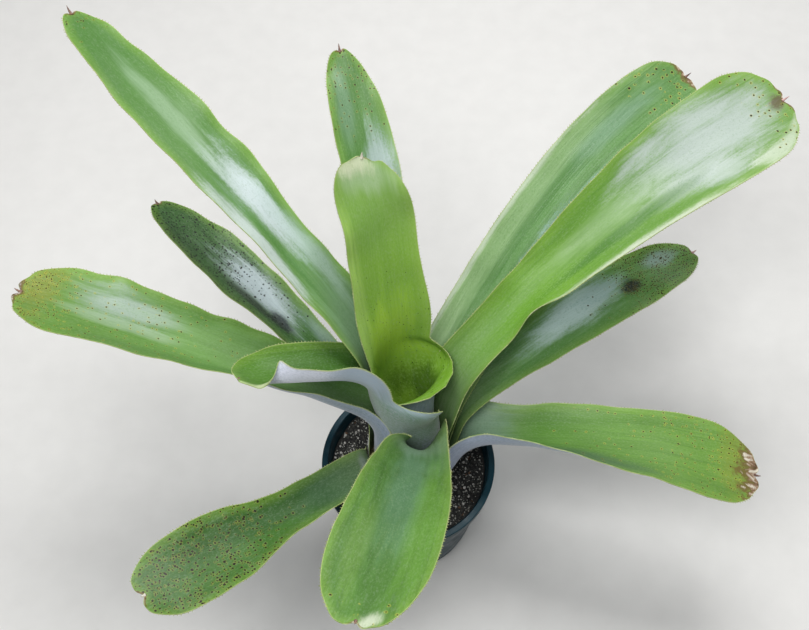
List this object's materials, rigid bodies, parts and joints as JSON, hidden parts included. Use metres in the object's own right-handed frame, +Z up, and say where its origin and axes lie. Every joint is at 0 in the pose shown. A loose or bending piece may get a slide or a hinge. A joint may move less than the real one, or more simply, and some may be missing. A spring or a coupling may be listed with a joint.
{
  "type": "potted bromeliad",
  "caption": "Tank bromeliad with broad strap leaves stacked as nested sheaths on a short leaning stem, growing in potting mix in a round tapered nursery pot.",
  "frame": {"origin": "centre of the pot's underside, on the surface it stands on", "axes": "+Z up; +Y away from the viewer of the picture; +X to the viewer's right"},
  "size_m": [0.6105, 0.52, 0.4051],
  "materials": {
    "pot": "dark blue-green polypropylene, satin",
    "soil": "damp peat with perlite, matt; fabric stands in for soil",
    "stem": "dry bracts and sheath bases, matt",
    "leaf_young": "waxy living leaf, yellow-green; rubber stands in for leaf tissue",
    "leaf_mature": "waxy living leaf, green, silvery scales on the outer face",
    "leaf_old": "waxy living leaf, dull dark green"
  },
  "bodies": {
    "root": {"pot": "pot", "soil": "soil", "stem": "stem", "leaf_a": "leaf_young", "leaf_b": "leaf_mature", "leaf_c": "leaf_mature", "leaf_d": "leaf_mature", "leaf_e": "leaf_mature", "leaf_f": "leaf_mature", "leaf_g": "leaf_old", "leaf_h": "leaf_mature", "leaf_i": "leaf_mature", "leaf_j": "leaf_mature", "leaf_k": "leaf_young", "leaf_l": "leaf_old"}
  },
  "joints": []
}
